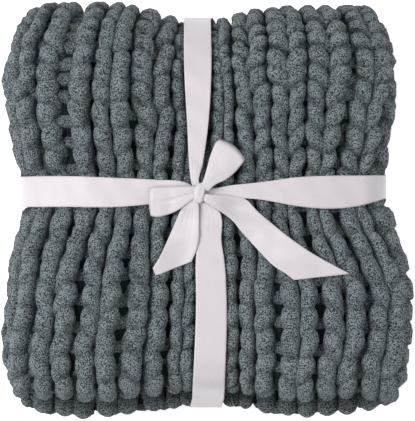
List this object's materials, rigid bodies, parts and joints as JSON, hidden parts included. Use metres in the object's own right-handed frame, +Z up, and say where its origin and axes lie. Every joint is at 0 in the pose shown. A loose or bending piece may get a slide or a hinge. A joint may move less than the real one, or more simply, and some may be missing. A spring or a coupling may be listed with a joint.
{
  "type": "folded chunky knit blanket tied with a ribbon",
  "caption": "Chunky chenille knit throw folded into a fat square stack and tied crosswise with a pale satin ribbon and bow.",
  "frame": {"origin": "centre of the stack's footprint on the surface that it lies on", "axes": "+Z up out of the top face, +Y towards the back where the outer fold wraps the stack, +X to the right when facing +Y"},
  "size_m": [0.4093, 0.4124, 0.1922],
  "materials": {
    "chenille": "matte plush chenille yarn, slate blue-grey",
    "satin": "soft pale pinkish white satin ribbon"
  },
  "bodies": {
    "root": {"blanket": "chenille", "ribbon_crosswise": "satin", "ribbon_lengthwise": "satin", "bow_knot": "satin", "bow_loop_left": "satin", "bow_loop_right": "satin", "bow_tail_left": "satin", "bow_tail_right": "satin"}
  },
  "joints": []
}
